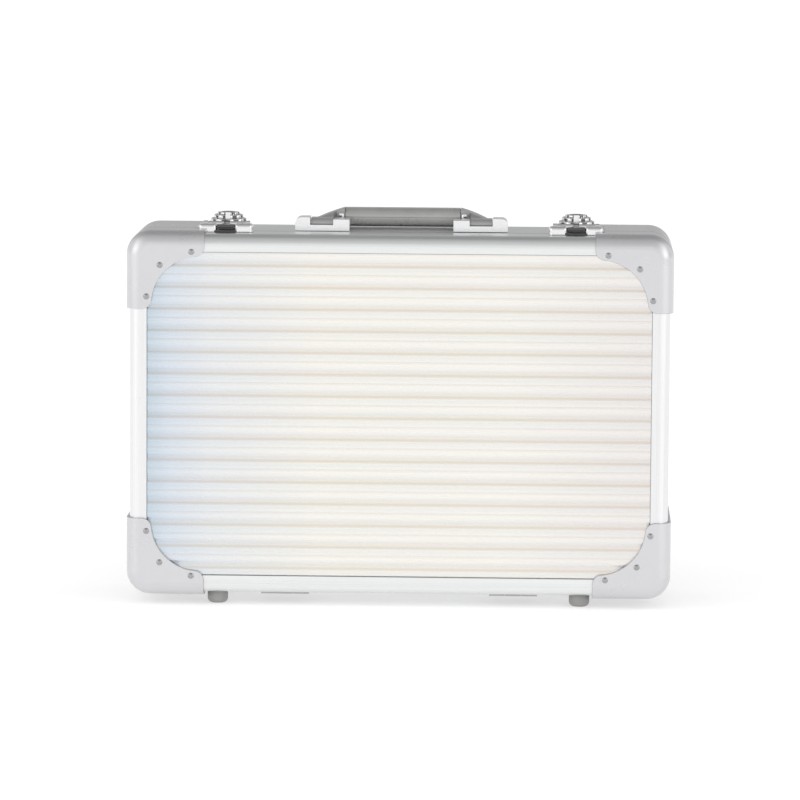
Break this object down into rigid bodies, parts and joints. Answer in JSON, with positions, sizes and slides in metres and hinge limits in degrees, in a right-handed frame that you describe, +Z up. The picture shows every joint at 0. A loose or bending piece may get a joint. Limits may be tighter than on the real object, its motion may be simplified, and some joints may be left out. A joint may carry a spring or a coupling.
{
  "type": "attache case",
  "caption": "Hard two-shell attache case in ribbed aluminium, with corner castings, folding top handle, key latches, feet and a hinged lid.",
  "frame": {"origin": "middle of the case's footprint, on the plane its feet stand on", "axes": "+X along the width, +Y from the lid's panel to the back, +Z up towards the handle"},
  "size_m": [0.45, 0.1224, 0.3246],
  "materials": {
    "rail_aluminium": "satin anodised extrusion",
    "ribbed_aluminium": "bright satin ribbed sheet",
    "corner_aluminium": "satin painted silver casting",
    "lining_cloth": "fine black cloth over board",
    "rim_aluminium": "plain aluminium strip",
    "grip_plastic": "moulded grey, slight sheen",
    "arm_metal": "grey cast arm",
    "base_silver": "silver casting",
    "chrome": "polished chrome plate",
    "dark_steel": "blackened steel",
    "lock_cylinder": "nickel plated lock face",
    "hinge_steel": "plain steel",
    "foot_rubber": "moulded grey rubber"
  },
  "bodies": {
    "body": {"body_rail_top": "rail_aluminium", "body_rail_bottom": "rail_aluminium", "body_rail_left": "rail_aluminium", "body_rail_right": "rail_aluminium", "body_panel": "ribbed_aluminium", "body_corner_top_left": "corner_aluminium", "body_corner_top_right": "corner_aluminium", "body_corner_bottom_left": "corner_aluminium", "body_corner_bottom_right": "corner_aluminium", "body_liner": "lining_cloth", "body_rim": "rim_aluminium", "foot_back_left": "foot_rubber", "hinge_leaf_body_left": "hinge_steel", "hinge_pin_left": "hinge_steel", "handle_base_left": "base_silver", "handle_pin_left": "hinge_steel", "latch_plate_left": "chrome", "foot_back_right": "foot_rubber", "hinge_leaf_body_right": "hinge_steel", "hinge_pin_right": "hinge_steel", "handle_base_right": "base_silver", "handle_pin_right": "hinge_steel", "latch_plate_right": "chrome"},
    "lid": {"lid_rail_top": "rail_aluminium", "lid_rail_bottom": "rail_aluminium", "lid_rail_left": "rail_aluminium", "lid_rail_right": "rail_aluminium", "lid_panel": "ribbed_aluminium", "lid_corner_top_left": "corner_aluminium", "lid_corner_top_right": "corner_aluminium", "lid_corner_bottom_left": "corner_aluminium", "lid_corner_bottom_right": "corner_aluminium", "lid_liner": "lining_cloth", "foot_front_left": "foot_rubber", "hinge_leaf_lid_left": "hinge_steel", "latch_keeper_left": "chrome", "foot_front_right": "foot_rubber", "hinge_leaf_lid_right": "hinge_steel", "latch_keeper_right": "chrome"},
    "handle": {"handle_grip": "grip_plastic", "handle_arm_left": "arm_metal", "grip_rivet_left": "chrome", "handle_arm_right": "arm_metal", "grip_rivet_right": "chrome"},
    "lever_left": {"latch_lever_left": "chrome", "latch_hook_pin_left": "hinge_steel"},
    "hook_left": {"latch_hook_left": "dark_steel"},
    "key_left": {"key_cylinder_left": "lock_cylinder"},
    "lever_right": {"latch_lever_right": "chrome", "latch_hook_pin_right": "hinge_steel"},
    "hook_right": {"latch_hook_right": "dark_steel"},
    "key_right": {"key_cylinder_right": "lock_cylinder"}
  },
  "joints": [
    {"name": "lid_hinge", "type": "hinge", "parent": "body", "child": "lid", "pos_m": [0, -0.02, 0.0074], "axis": [1, 0, 0], "range_deg": [0, 95]},
    {"name": "handle_hinge", "type": "hinge", "parent": "body", "child": "handle", "pos_m": [0, -0.0085, 0.3141], "axis": [1, 0, 0], "range_deg": [0, 90]},
    {"name": "latch_lever_left_hinge", "type": "hinge", "parent": "body", "child": "lever_left", "pos_m": [-0.1445, -0.0155, 0.313], "axis": [1, 0, 0], "range_deg": [0, 100]},
    {"name": "latch_hook_left_pivot", "type": "hinge", "parent": "lever_left", "child": "hook_left", "pos_m": [-0.1445, -0.011, 0.3124], "axis": [1, 0, 0], "range_deg": [-110, 0]},
    {"name": "key_left_turn", "type": "hinge", "parent": "lever_left", "child": "key_left", "pos_m": [-0.1445, 0.002, 0.313], "axis": [0, 0, 1], "range_deg": [0, 90]},
    {"name": "latch_lever_right_hinge", "type": "hinge", "parent": "body", "child": "lever_right", "pos_m": [0.1445, -0.0155, 0.313], "axis": [1, 0, 0], "range_deg": [0, 100]},
    {"name": "latch_hook_right_pivot", "type": "hinge", "parent": "lever_right", "child": "hook_right", "pos_m": [0.1445, -0.011, 0.3124], "axis": [1, 0, 0], "range_deg": [-110, 0]},
    {"name": "key_right_turn", "type": "hinge", "parent": "lever_right", "child": "key_right", "pos_m": [0.1445, 0.002, 0.313], "axis": [0, 0, 1], "range_deg": [0, 90]}
  ],
  "couplings": [
    {"joint": "latch_hook_left_pivot", "follows": "latch_lever_left_hinge", "ratio": -1.1},
    {"joint": "latch_hook_right_pivot", "follows": "latch_lever_right_hinge", "ratio": -1.1}
  ]
}
